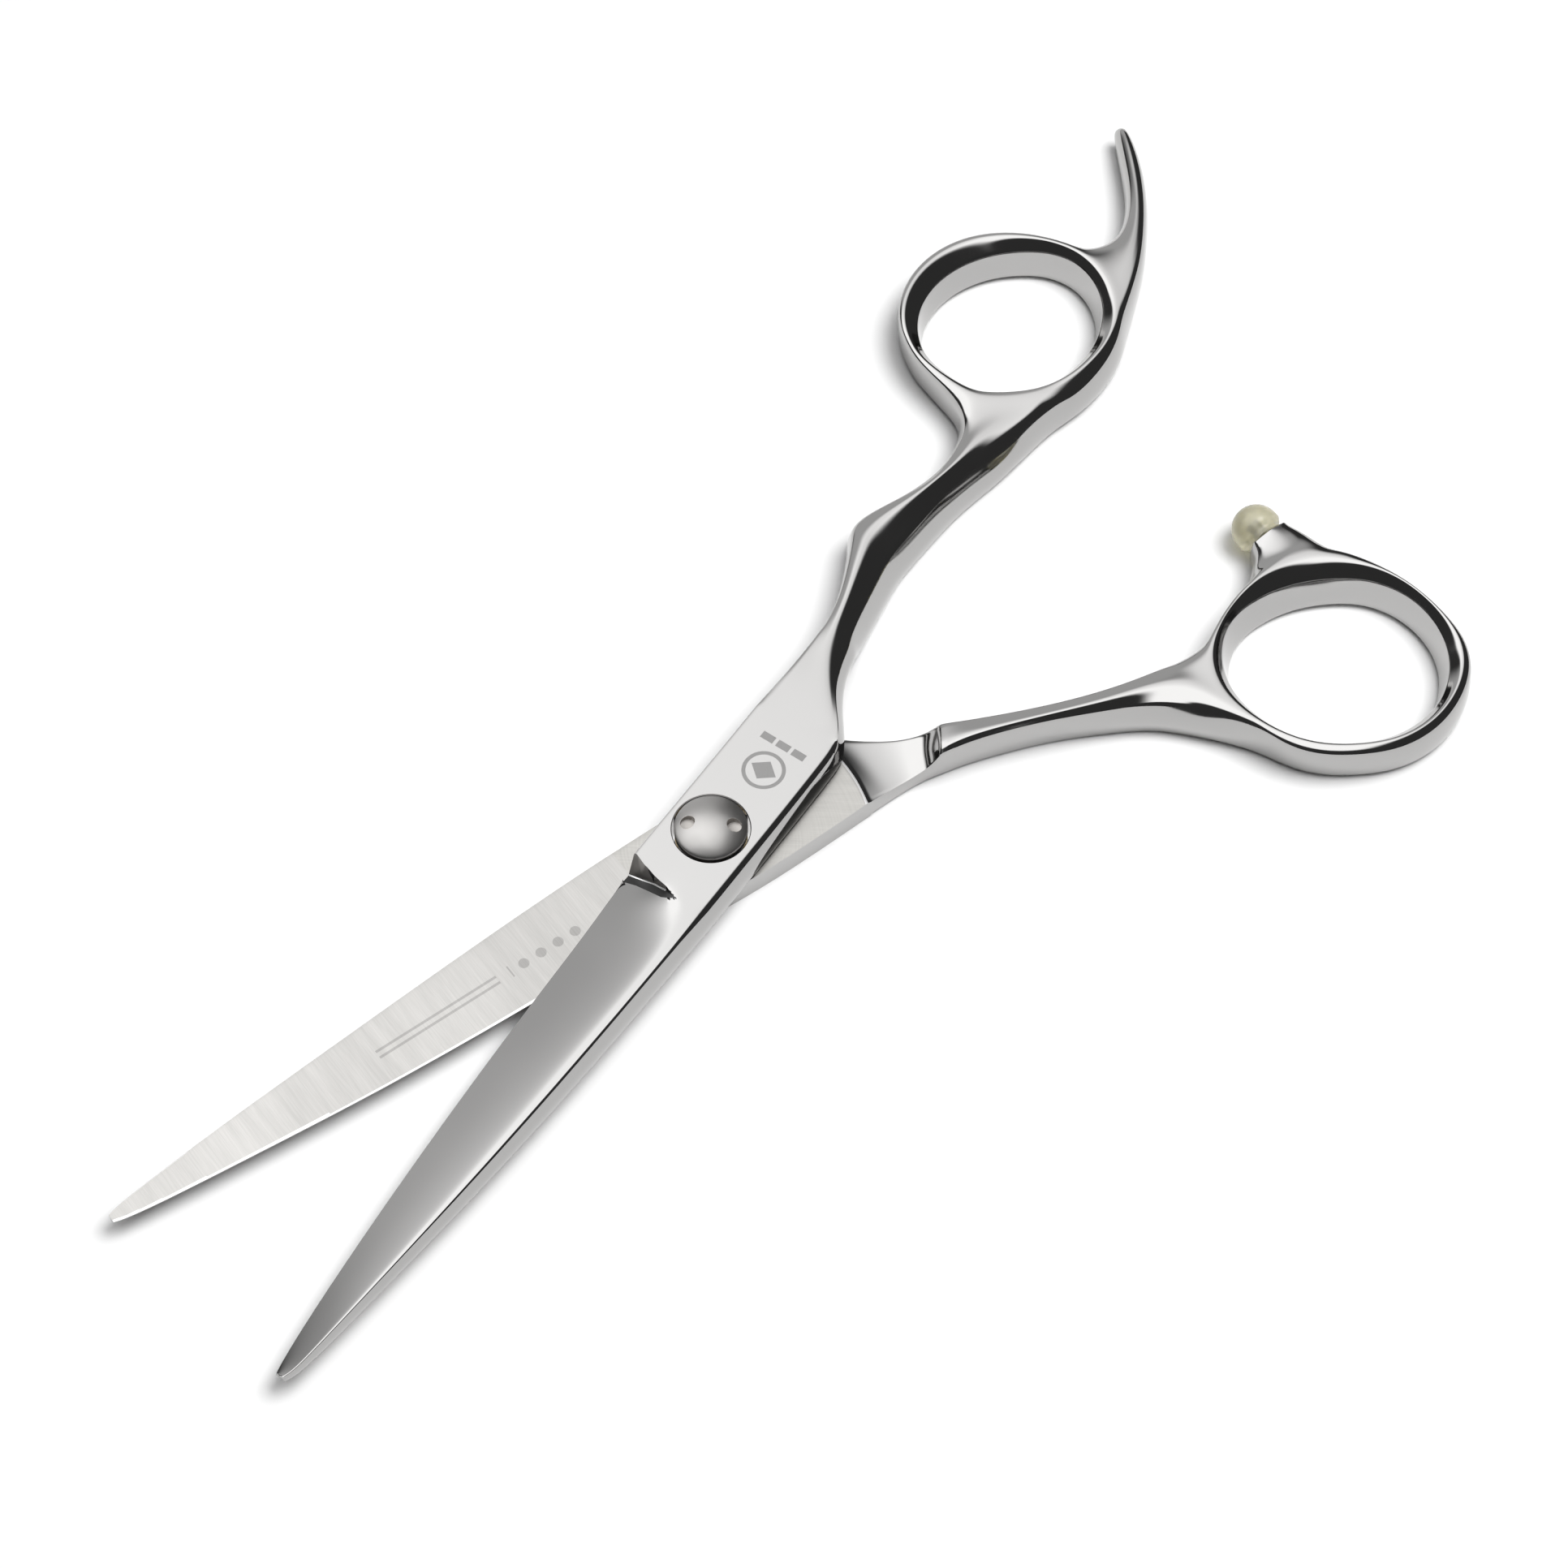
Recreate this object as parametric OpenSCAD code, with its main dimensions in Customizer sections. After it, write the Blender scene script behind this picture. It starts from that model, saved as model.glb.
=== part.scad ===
// Hair cutting shears, 6.5 inch class, lying on a table with the blades part open.
// The origin is on the pivot axis in the table plane. +X runs along the finger blade, +Z is up.
// The thumb blade is drawn closed and then turned about the pivot to its rest opening.

/* [Blades] */
// Length of each blade from the pivot to its tip
blade_length = 75.5; // [60:0.5:90]
// Thickness of each forging at the pivot
plate_t = 2.95; // [2.6:0.05:3.4]
// Gap between the two flat faces
face_gap = 0.1; // [0.05:0.01:0.2]
// Angle between the drawn closed position and the rest position
rest_opening = 18.68; // [0:0.01:60]
// Radius of the raised ride area around the pivot
ride_r = 17.6; // [15:0.1:18.5]

/* [Handles] */
// Height of the underside of the handles above the table
handle_z = 0.1; // [0:0.05:0.4]
// Height of the crest of both rings
crest_z = 5.5; // [4.8:0.1:5.8]
// Height of a ring's inner lip as a part of the crest's height
lip_part = 0.78; // [0.6:0.01:0.85]
// Distance of a ring's shoulder from its outer edge where the wall stands upright
shoulder_in = 0.12; // [0.05:0.01:0.3]

/* [Pivot] */
// Diameter of the bolt where the finger blade turns
bolt_d = 5; // [4:0.1:5.4]
// Diameter of the bolt head under the thumb blade
head_d = 9.4; // [8:0.1:11]
// Thickness of the bolt head
head_t = 1.1; // [0.8:0.05:1.3]
// Width across the two flats that key the bolt to the thumb blade
key_w = 4.2; // [3.6:0.1:4.6]
// Diameter of the threaded end of the bolt
thread_d = 4; // [3:0.1:4.2]
// Diameter of the recess for the tension nut
recess_d = 8.44; // [8.2:0.01:9]
// Height of the recess floor
recess_z = 4.45; // [4.2:0.05:4.6]
// Diameter of the tension nut
nut_d = 7.9; // [7:0.05:8.1]
// Height of the nut's rim
nut_rim_z = 6.4; // [6.2:0.05:6.8]
// Rise of the nut's dome above its rim
dome_h = 1.2; // [0.6:0.05:1.6]
// Diameter of each key hole in the nut
key_hole_d = 1.6; // [1.2:0.05:1.8]
// Diameter of the circle through the two key holes
key_circle_d = 5; // [4.6:0.1:5.4]
// Direction of the line through the two key holes
key_angle = 121.3; // [0:0.1:180]
// Outer diameter of the bush
bush_d = 6.4; // [6:0.1:6.8]
// Outer diameter of the washer between the blades
glide_d = 12; // [9:0.5:15]

/* [Bumper] */
// Diameter of the bumper's head
bumper_d = 5.6; // [4.6:0.1:5.6]
// Diameter of the bumper's stem
stem_d = 2.8; // [2.4:0.1:3.2]
// Length of the stem inside the thumb ring
stem_l = 3.2; // [2:0.1:3.4]

/* [Hidden] */
$fn = 64;
ride_z = plate_t + face_gap;
face_z = ride_z + face_gap;
top_z = face_z + plate_t;
fit = 0.03;
slack = 0.05;
flange_t = 0.25;
washer_t = 0.2;
spring_h = 0.4;
spring_t = 0.2;
glide_t = 0.25;
land_t = 0.12;
land_round = 0.02;
nut_z = recess_z + flange_t + washer_t + spring_h + 3 * slack;
steel = [0.82, 0.82, 0.82];

// ---- Cage of a forging: twelve-point stations along it and ten-point rays around its ring ----

SIDE = 12;
RAY = 10;

function mix(a, b, t) = a + (b - a) * t;
function up(p, z) = [p[0], p[1], z];

// A station is [left, right, left inset, right inset, bottom, left top, crown place, crown,
// right top, edge round]. Its loop runs over the top from left to right and back underneath.
function station(s) =
    let (
        l = s[0], r = s[1], d = (r - l) / norm(r - l),
        a = l + d * s[2], b = r - d * s[3], m = s[6], e = d * s[9],
        rise = s[7] - s[5]
    )
    [
        up(a, s[5]),
        up(mix(a, b, m / 2), s[5] + rise * 0.52),
        up(mix(a, b, m), s[7]),
        up(mix(a, b, (1 + m) / 2), mix(s[7], s[8], 0.5)),
        up(b, s[8]),
        up(r, mix(s[4], s[8], 0.45)),
        up(r - e, s[4]),
        up(mix(l, r, 0.75), s[4]),
        up(mix(l, r, 0.5), s[4]),
        up(mix(l, r, 0.25), s[4]),
        up(l + e, s[4]),
        up(l, mix(s[4], s[5], 0.45))
    ];

// The thumb blade is flat on top and ground underneath. Its station is
// [left, right, spine inset, spine bottom, crown place, crown, edge bottom].
function under_station(s) =
    let (
        l = s[0], r = s[1], d = (r - l) / norm(r - l),
        a = l + d * s[2], b = r - d * land_round, m = s[4], fall = s[6] - s[5]
    )
    [
        up(l, ride_z),
        up(mix(l, r, 0.25), ride_z),
        up(mix(l, r, 0.5), ride_z),
        up(mix(l, r, 0.75), ride_z),
        up(b, ride_z),
        up(r, mix(ride_z, s[6], 0.5)),
        up(b, s[6]),
        up(mix(r, a, m / 2), s[6] - fall * 0.52),
        up(mix(r, a, m), s[5]),
        up(mix(r, a, (1 + m) / 2), mix(s[5], s[3], 0.5)),
        up(a, s[3]),
        up(l, mix(ride_z, s[3], 0.45))
    ];

// A radius given every 30 degrees, read at any angle along a smooth closed curve.
function around(list, angle) =
    let (
        n = len(list), t = angle / 360 * n + n, i = floor(t), f = t - i,
        p = [for (k = [-1:2]) list[(i + k) % n]]
    )
    p[1] + 0.5 * f * (p[2] - p[0] + f * (2 * p[0] - 5 * p[1] + 4 * p[2] - p[3]
        + f * (3 * (p[1] - p[2]) + p[3] - p[0])));

// One ray of a ring, from the foot of the hole's wall over the lip and the crest and back
// underneath. A ring is [centre, hole radii, outer radii, distance of the lip from the hole's foot,
// place of the crest between the lip and the shoulder, and how far the outer wall leans out].
function ray(ring, angle, joined) =
    let (
        c = ring[0], d = [cos(angle), sin(angle)], h = around(ring[1], angle),
        o = around(ring[2], angle), lip_in = around(ring[3], angle),
        lean = around(ring[5], angle), z = handle_z,
        lip = h + lip_in, shoulder = o - shoulder_in - lean,
        crest = mix(lip, shoulder, around(ring[4], angle)),
        drop = joined ? 0.3 * lean : 0.45 + 0.55 * lean
    )
    [
        up(c + d * h, z + 0.5),
        up(c + d * (h + lip_in * 0.35), mix(z, crest_z, 0.4)),
        up(c + d * lip, mix(z, crest_z, lip_part)),
        up(c + d * mix(lip, crest, 0.5), mix(z, crest_z, (1 + lip_part) / 2)),
        up(c + d * crest, crest_z),
        up(c + d * shoulder, crest_z - drop),
        up(c + d * mix(shoulder, o, 0.65), mix(z, crest_z, 0.5)),
        up(c + d * (o - (joined ? 0 : 0.25)), joined ? z : z + 0.45),
        up(c + d * mix(o, h, 0.35), z),
        up(c + d * mix(o, h, 0.75), z)
    ];

function joined(i, starts) = len([for (s = starts) if (i >= s && i <= s + 4) 1]) > 0;
function inside_joint(i, starts) = len([for (s = starts) if (i >= s && i < s + 4) 1]) > 0;

function flatten(lists) = [for (a = lists) for (b = a) b];
function quad(a, b, c, d) = [[a, b, c], [a, c, d]];
function band(a, b) =
    flatten([for (i = [0:SIDE - 1]) let (j = (i + 1) % SIDE) quad(a[i], b[i], b[j], a[j])]);
function loop(base, i) = [for (k = [0:SIDE - 1]) base + i * SIDE + k];
function strip(loops) = flatten([for (i = [0:len(loops) - 2]) band(loops[i], loops[i + 1])]);
function cap(a) = concat(
    [[a[4], a[5], a[6]], [a[10], a[11], a[0]]],
    flatten([for (i = [0:3]) quad(a[i], a[i + 1], a[9 - i], a[10 - i])])
);
function backwards(faces) = [for (f = faces) [f[2], f[1], f[0]]];

// The loop of ring points where an arm meets the ring, seen from the arm.
function arm_loop(base, s) = concat(
    [for (i = [0:4]) base + (s + i) * RAY + 5], [base + (s + 4) * RAY + 6],
    [for (i = [4:-1:0]) base + (s + i) * RAY + 7], [base + s * RAY + 6]
);
// The same where a tail leaves the ring.
function tail_loop(base, s) = concat(
    [for (i = [4:-1:0]) base + (s + i) * RAY + 5], [base + s * RAY + 6],
    [for (i = [0:4]) base + (s + i) * RAY + 7], [base + (s + 4) * RAY + 6]
);

module forging(arm, tail, ring, angles, tail_start) {
    starts = [0, tail_start];
    rays = len(angles);
    rings = [for (i = [0:rays - 1]) ray(ring, angles[i], joined(i, starts))];
    tail_base = len(arm) * SIDE;
    ring_base = tail_base + len(tail) * SIDE;
    arm_loops = concat([for (i = [0:len(arm) - 1]) loop(0, i)], [arm_loop(ring_base, 0)]);
    tail_loops = concat(
        [tail_loop(ring_base, tail_start)],
        [for (i = [0:len(tail) - 1]) loop(tail_base, i)]
    );
    ring_faces = flatten([
        for (i = [0:rays - 1]) for (k = [0:RAY - 1])
            let (
                a = ring_base + i * RAY, b = ring_base + (i + 1) % rays * RAY,
                n = (k + 1) % RAY
            )
            if (!(inside_joint(i, starts) && (k == 5 || k == 6)))
                quad(a + k, a + n, b + n, b + k)
    ]);
    polyhedron(
        concat(flatten(arm), flatten(tail), flatten(rings)),
        concat(
            cap(arm_loops[0]), strip(arm_loops), strip(tail_loops),
            backwards(cap(tail_loops[len(tail)])), ring_faces
        ),
        convexity = 8
    );
}

// ---- Finger blade: blade, plate, shank, finger ring and finger rest in one forging ----

// Blade stations: [part of the length, edge, spine, spine inset, crown place, and how far
// the crown and the spine's top lie below the plate's top]
finger_grind = [
    [1, 0.3, 1.5, 0.2, 0.8, 2.2, 2.15],
    [0.985, 0, 2.1, 0.25, 0.9, 2, 1.95],
    [0.93, -0.65, 2.65, 0.35, 0.93, 1.7, 1.65],
    [0.8, -1.75, 3.6, 0.45, 0.93, 1.25, 1.2],
    [0.6, -3, 4.95, 0.7, 0.9, 0.7, 0.65],
    [0.4, -3.9, 5.7, 0.75, 0.88, 0.3, 0.25],
    [0.24, -4.3, 6, 0.75, 0.9, 0.07, 0.05],
    [0.165, -4.7, 6.1, 0.8, 0.86, 0, 0],
    [0.1238, -4.85, 6.15, 0.8, 0.68, 0, 0]
];
// Plate stations: [x, left, right, right inset]
finger_plate = [
    [8.75, -4.9, 6.15, 0.8], [5, -5, 6.15, 0.8], [-5, -5, 6.1, 0.8],
    [-14, -5.05, 6, 0.8], [-16.5, -5.1, 5.8, 0.75]
];
// Shank stations: [x, left, right, left inset, right inset, bottom, left top, crown place,
// crown, right top, edge round]
finger_shank = [
    [-18.3, -5.1, 4.9, 0.1, 0.9, face_z, 6.1, 0.9, 6.1, 6.05, 0.1],
    [-20.5, -5.1, 3.1, 0.2, 1, face_z, 6.1, 0.85, 6.1, 5.9, 0.1],
    [-23, -5.15, 1.3, 0.3, 1, face_z, 6.05, 0.75, 6.1, 5.7, 0.1],
    [-26, -5.3, -0.1, 0.4, 0.8, face_z, 5.9, 0.5, 6.1, 5.4, 0.1],
    [-28.4, -5.55, -0.6, 0.5, 1, face_z, 5.8, 0.4, 6.1, 5.2, 0.1],
    [-29.6, -5.75, -1.1, 0.5, 1, 0.5, 5.75, 0.36, 6.1, 5.15, 0.3],
    [-33, -6.6, -1.7, 0.6, 1.3, 0.1, 5.7, 0.32, 6.1, 5, 0.4],
    [-37.5, -8.7, -2.5, 0.7, 1.5, 0.1, 5.6, 0.34, 6.1, 4.9, 0.4],
    [-40, -10.1, -2.9, 0.8, 1.7, 0.1, 5.4, 0.38, 6.1, 4.85, 0.4],
    [-41.8, -11.3, -3.05, 0.9, 1.7, 0.1, 5.2, 0.42, 6.1, 4.85, 0.4],
    [-44.6, -10.3, -3, 0.8, 1.7, 0.1, 5.4, 0.38, 6.1, 4.85, 0.4],
    [-48, -8.5, -2.9, 0.7, 1.7, 0.1, 5.5, 0.34, 6.05, 4.85, 0.4],
    [-52, -7.2, -2.7, 0.6, 1.8, 0.1, 5.4, 0.36, 5.95, 4.85, 0.4],
    [-56, -7.1, -2, 0.6, 1.8, 0.1, 5.2, 0.42, 5.8, 4.9, 0.4],
    [-60, -8.2, -1.1, 0.6, 1.9, 0.1, 5, 0.46, 5.7, 4.9, 0.4]
];
// Finger rest stations: [left, right, bottom, left top, crown, right top], ring to tip
finger_rest = [
    [[-93, -8.7], [-90.5, -2.8], 0.1, 4.7, 5.4, 5],
    [[-97, -9.7], [-95, -5.1], 0.2, 4.5, 5.2, 4.8],
    [[-100.6, -12], [-100, -8], 0.4, 4.2, 4.9, 4.5],
    [[-104, -15], [-104.4, -11.4], 0.6, 3.9, 4.5, 4.2],
    [[-106.6, -17.3], [-107.6, -14.7], 0.8, 3.6, 4.1, 3.9],
    [[-108.1, -18.5], [-109.2, -16.9], 1.1, 3.2, 3.5, 3.4]
];
finger_angles = concat(
    [8, 20, 32, 44, 55], [67, 80, 93, 105, 116], [127, 139, 151, 163, 175],
    [for (i = [0:10]) 189.5 + 14.6 * i]
);
finger_ring = [
    [-75.5, -11.8],
    [10.3, 9.6, 9.6, 9.4, 10, 10.9, 11.2, 9.9, 9.3, 9.4, 9.9, 10.2],
    [12.9, 14.2, 13.6, 13.2, 13.9, 14.4, 13.7, 13.3, 13.4, 13.3, 13, 12.3],
    [0.3, 0.1, 0.1, 0.3, 0.5, 0.8, 0.9, 0.9, 0.9, 0.8, 0.6, 0.4],
    [0.4, 0.2, 0.2, 0.4, 0.6, 0.45, 0.55, 0.68, 0.72, 0.75, 0.75, 0.7],
    [0.2, 0.7, 0.9, 0.9, 0.8, 0.4, 0.05, 0, 0, 0, 0, 0]
];

function finger_arm() = concat(
    [for (g = finger_grind) let (x = g[0] * blade_length) station([
        [x, g[1]], [x, g[2]], land_round, g[3], face_z, face_z + land_t, g[4],
        top_z - g[5], top_z - g[6], land_round
    ])],
    [for (p = finger_plate) station([
        [p[0], p[1]], [p[0], p[2]], 0, p[3], face_z, top_z, 0.5, top_z, top_z, 0
    ])],
    [for (s = finger_shank) station([
        [s[0], s[1]], [s[0], s[2]], s[3], s[4], s[5], s[6], s[7], s[8], s[9], s[10]
    ])]
);
function finger_tail() = [
    for (s = finger_rest) station([s[0], s[1], 0.6, 0.7, s[2], s[3], 0.5, s[4], s[5], 0.6])
];

// The notch where the cutting edge ends at the heel: a groove with a steep wall under the plate
// and a narrow floor, which starts at a point on the plate's top and runs out at the inner face.
// Sections: [y, x of the wall's top, x and height of its foot, x and height of the near edge]
heel_sections = [
    [-6.5, 6.5, 8.4, 2.6, 9.5, 2.7], [-4.9, 7.1, 8.35, 3.18, 9.45, 3.22],
    [-3.2, 7.7, 8.25, 3.7, 9.35, 3.85], [-1.5, 8.2, 8.38, 4.65, 9.47, 4.5],
    [0.3, 8.5, 8.65, 5.45, 9.6, 5.15]
];
heel_tip = [9.2, 2.15, top_z + 0.25];
module heel_notch() {
    over = 0.5;
    n = 5;
    rows = len(heel_sections);
    points = flatten([
        for (s = heel_sections) let (lean = (s[2] - s[1]) / (top_z - s[3])) [
            [s[1] - lean * over, s[0], top_z + over], [s[2] - lean * 0.1, s[0], s[3] + 0.1],
            [s[2] + 0.12, s[0], s[3]], [s[4], s[0], s[5]], [s[4], s[0], top_z + over]
        ]
    ]);
    sides = flatten([
        for (i = [0:rows - 2]) for (k = [0:n - 1])
            let (a = i * n, b = a + n, j = (k + 1) % n)
            [[a + k, a + j, b + j], [a + k, b + j, b + k]]
    ]);
    end = [for (k = [0:n - 1]) [(rows - 1) * n + k, (rows - 1) * n + (k + 1) % n, rows * n]];
    start = [[2, 1, 0], [3, 2, 0], [4, 3, 0]];
    polyhedron(concat(points, [heel_tip]), concat(sides, end, start), convexity = 4);
}

module finger_blade() {
    color(steel)
        difference() {
            forging(finger_arm(), finger_tail(), finger_ring, finger_angles, 10);
            heel_notch();
            translate([0, 0, recess_z]) cylinder(d = recess_d, h = 4);
            translate([0, 0, face_z - 1]) cylinder(d = bush_d, h = 4);
        }
}

// ---- Thumb blade, drawn closed: blade, ride area, shank, thumb ring and bumper boss ----

// Blade stations: [part of the length, spine, edge, spine inset, spine bottom, crown place, crown]
thumb_grind = [
    [1, -0.6, 0.4, 0.2, 2.25, 0.6, 2.3],
    [0.985, -1, 0.75, 0.25, 2.05, 0.8, 2.1],
    [0.93, -1.5, 1.4, 0.35, 1.75, 0.86, 1.85],
    [0.8, -2.5, 2.4, 0.45, 1.3, 0.84, 1.4],
    [0.6, -3.5, 3.9, 0.7, 0.75, 0.77, 0.85],
    [0.4, -4.5, 4.7, 0.75, 0.35, 0.76, 0.45],
    [0.24, -5.1, 5, 0.75, 0.15, 0.8, 0.2],
    [0.14, -5.3, 5.3, 0.8, 0.1, 0.8, 0.1]
];
// Ride area stations: [x, left, right]
thumb_plate = [
    [9.3, -5.3, 5.4], [4, -5.35, 6], [-3, -5.35, 6.3], [-9, -5.35, 6.2], [-13, -5.3, 6.1]
];
thumb_shank = [
    [[-19.9, -2.3], [-19.1, 6], 0.2, 0.2, 0, 2.4, 0.5, 2.4, 2.4, 0.2],
    [[-22.3, -0.5], [-21.2, 6], 0.2, 0.2, 0, 2.2, 0.5, 2.2, 2.2, 0.2],
    [[-24.6, 1.1], [-22.9, 6.1], 0.2, 0.2, 0, 2.3, 0.5, 2.3, 2.3, 0.3],
    [[-27, 2.4], [-24.7, 6.4], 0.2, 0.2, 0.1, 3, 0.5, 3, 3, 0.4],
    [[-28.4, 3.2], [-25.8, 6.8], 0.3, 0.1, 0.1, 5.2, 0.8, 5.6, 5.2, 0.5],
    [[-30.8, 4.5], [-29, 7.4], 0.4, 0.2, 0.1, 5.4, 0.8, 5.9, 5.2, 0.5],
    [[-35.5, 6.7], [-34, 9], 0.4, 0.15, 0.1, 5.4, 0.8, 6, 5.2, 0.5],
    [[-40.5, 8.8], [-39, 10.9], 0.4, 0.1, 0.1, 5.4, 0.75, 6, 5.2, 0.5],
    [[-45.5, 10.4], [-44, 13.7], 0.4, 0.6, 0.1, 5.3, 0.6, 5.9, 5.1, 0.6],
    [[-50, 11.4], [-48.6, 16.4], 0.4, 1.3, 0.1, 5.2, 0.5, 5.8, 4.95, 0.7],
    [[-53.8, 11.8], [-52, 20.6], 0.5, 2.2, 0.1, 5, 0.45, 5.7, 4.95, 0.7]
];
// Bumper boss stations: [left, right, bottom, left top, crown, right top], ring to end face
thumb_boss = [
    [[-67.6, 8.2], [-77.3, 8.2], 0.1, 4.6, 5.3, 5],
    [[-70, 6.3], [-76.7, 6.3], 0.2, 4.6, 5.2, 4.9],
    [[-70.7, 4.8], [-76, 4.8], 0.4, 4.5, 5.1, 4.8]
];
thumb_angles = concat(
    [-46, -33, -20, -7, 6], [for (i = [1:17]) 6 + 12.7 * i],
    [235, 245.5, 256, 266.5, 277], [289, 301]
);
thumb_ring = [
    [-68.3, 23.3],
    [10.8, 10.1, 9.8, 10.2, 10.8, 11.3, 11.4, 11.2, 10.5, 10.9, 12, 11.9],
    [13.1, 12.5, 12.1, 13.1, 14.2, 14.9, 13.6, 14.1, 15.6, 14.5, 14.5, 15.3],
    [0.5, 0.2, 0.1, 0.3, 0.6, 0.8, 0.9, 1.1, 1.4, 1.4, 1.2, 0.9],
    [0.5, 0.4, 0.4, 0.5, 0.55, 0.6, 0.7, 0.7, 0.52, 0.72, 0.65, 0.5],
    [0.1, 0.1, 0.2, 0.5, 0.6, 0.3, 0, 0, 0, 0, 0, 0.1]
];
bumper_at = [-73.3, 2.9, 2.85];
boss_y = 4.8;

// A point on the ride area's rim, where it meets the outline at the given height y
function rim(r, y) = [-sqrt(r * r - y * y), y];
function rim_station(r, low, z) =
    let (s = station([rim(r, -4.1), rim(r, 6.05), 0.1, 0.1, low, z, 0.5, z, z, 0.1]))
    [for (p = s) let (q = rim(r, p[1])) [q[0], p[1], p[2]]];

function thumb_arm() = concat(
    [for (g = thumb_grind) let (x = g[0] * blade_length) under_station([
        [x, g[1]], [x, g[2]], g[3], g[4], g[5], g[6], ride_z - land_t
    ])],
    [for (p = thumb_plate) station([
        [p[0], p[1]], [p[0], p[2]], 0, 0, 0, ride_z, 0.5, ride_z, ride_z, 0
    ])],
    [rim_station(ride_r, 0, ride_z), rim_station(ride_r + 0.4, 0, 2.85)],
    [for (s = thumb_shank) station(s)]
);
function thumb_tail() = [
    for (s = thumb_boss) station([s[0], s[1], 0.5, 0.5, s[2], s[3], 0.5, s[4], s[5], 0.5])
];

module opened() {
    rotate([0, 0, -rest_opening]) children();
}

// The bolt's section where it is keyed: a round with two flats
module key_section(gap) {
    intersection() {
        circle(d = bolt_d + 2 * gap);
        square([bolt_d + 2, key_w + 2 * gap], center = true);
    }
}

module thumb_blade() {
    color(steel)
        opened()
            difference() {
                forging(thumb_arm(), thumb_tail(), thumb_ring, thumb_angles, 22);
                translate([0, 0, -1]) cylinder(d = head_d + 2 * slack, h = 1 + head_t + 0.02);
                translate([0, 0, -1]) linear_extrude(height = 6) key_section(0.02);
                translate([0, 0, ride_z + slack - glide_t]) cylinder(d = glide_d + 0.2, h = 2);
                translate([bumper_at[0], boss_y + stem_l + 0.05, bumper_at[2]])
                    rotate([90, 0, 0]) cylinder(d = stem_d + 0.04, h = stem_l + 3);
            }
}

// ---- Pivot ----

module pivot_bolt() {
    color([0.7, 0.7, 0.7])
        opened()
            union() {
                cylinder(d = head_d, h = head_t);
                linear_extrude(height = ride_z - glide_t) key_section(0);
                translate([0, 0, ride_z - glide_t]) {
                    cylinder(d = bolt_d, h = recess_z + flange_t - ride_z + glide_t);
                    cylinder(d = thread_d, h = top_z - slack - ride_z + glide_t);
                }
            }
}

// Bush in the finger blade, with a flange on the recess floor
module pivot_bush() {
    color([0.75, 0.6, 0.35])
        translate([0, 0, face_z])
            difference() {
                union() {
                    cylinder(d = bush_d, h = recess_z - face_z);
                    translate([0, 0, recess_z - face_z]) cylinder(d = 7.8, h = flange_t);
                }
                translate([0, 0, -1]) cylinder(d = bolt_d + 2 * fit, h = 4);
            }
}

module flat_ring(outer, inner, h) {
    difference() {
        cylinder(d = outer, h = h);
        translate([0, 0, -1]) cylinder(d = inner, h = h + 2);
    }
}

// Slippery washer in the thumb blade's ride face
module glide_washer() {
    color([0.93, 0.93, 0.9])
        translate([0, 0, ride_z + slack - glide_t]) flat_ring(glide_d, bolt_d + 0.3, glide_t);
}

module thrust_washer() {
    color([0.6, 0.6, 0.6])
        translate([0, 0, recess_z + flange_t + slack]) flat_ring(7.7, thread_d + 0.3, washer_t);
}

// Conical spring washer that loads the blades together
module disc_spring() {
    outer = 3.8;
    inner = thread_d / 2 + 0.15;
    color([0.35, 0.37, 0.42])
        translate([0, 0, recess_z + flange_t + washer_t + 2 * slack])
            rotate_extrude()
                polygon([
                    [inner, spring_h - spring_t], [outer, 0],
                    [outer, spring_t], [inner, spring_h]
                ]);
}

// Domed nut that sets the tension, turned with a two-pin key
module tension_nut() {
    rim_r = nut_d / 2;
    dome_r = (rim_r * rim_r + dome_h * dome_h) / (2 * dome_h);
    color([0.75, 0.75, 0.74])
        difference() {
            union() {
                translate([0, 0, nut_z]) cylinder(d = nut_d, h = nut_rim_z - nut_z);
                intersection() {
                    translate([0, 0, nut_rim_z + dome_h - dome_r]) sphere(r = dome_r);
                    translate([0, 0, nut_rim_z - 0.05]) cylinder(d = nut_d, h = dome_h + 1);
                }
            }
            translate([0, 0, nut_z - 1])
                cylinder(d = thread_d + 2 * fit, h = top_z - nut_z + 1);
            for (turn = [0, 180])
                rotate([0, 0, key_angle + turn])
                    translate([key_circle_d / 2, 0, nut_rim_z - slack])
                        cylinder(d = key_hole_d, h = 3);
        }
}

// ---- Bumper in the thumb ring ----

module along_bumper() {
    opened()
        translate([bumper_at[0], bumper_at[1], bumper_at[2]])
            rotate([90, 0, 0])
                children();
}

// Soft plug: a round head on a neck, and a stem that is pushed into the ring's boss
module bumper() {
    r = bumper_d / 2;
    neck = boss_y - bumper_at[1];
    color([0.75, 0.73, 0.6])
        along_bumper()
            difference() {
                rotate_extrude()
                    polygon(concat(
                        [[0, -neck - stem_l], [stem_d / 2, -neck - stem_l], [stem_d / 2, -neck]],
                        [[r - 0.45, -neck], [r - 0.6, -neck + 0.7], [r - 0.1, -neck + 0.9], [r, 0]],
                        [for (a = [15:15:75]) [r * cos(a), r * sin(a)]],
                        [[0, r]]
                    ));
                translate([0, 0, -neck - stem_l - 1]) cylinder(d = 1.2, h = stem_l + neck + 1.5);
            }
}

// Metal core moulded into the bumper
module bumper_stud() {
    neck = boss_y - bumper_at[1];
    color([0.3, 0.3, 0.3])
        along_bumper()
            translate([0, 0, -neck - stem_l]) cylinder(d = 1.2, h = stem_l + neck + 0.5);
}

finger_blade();
thumb_blade();
pivot_bolt();
pivot_bush();
glide_washer();
thrust_washer();
disc_spring();
tension_nut();
bumper();
bumper_stud();
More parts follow.
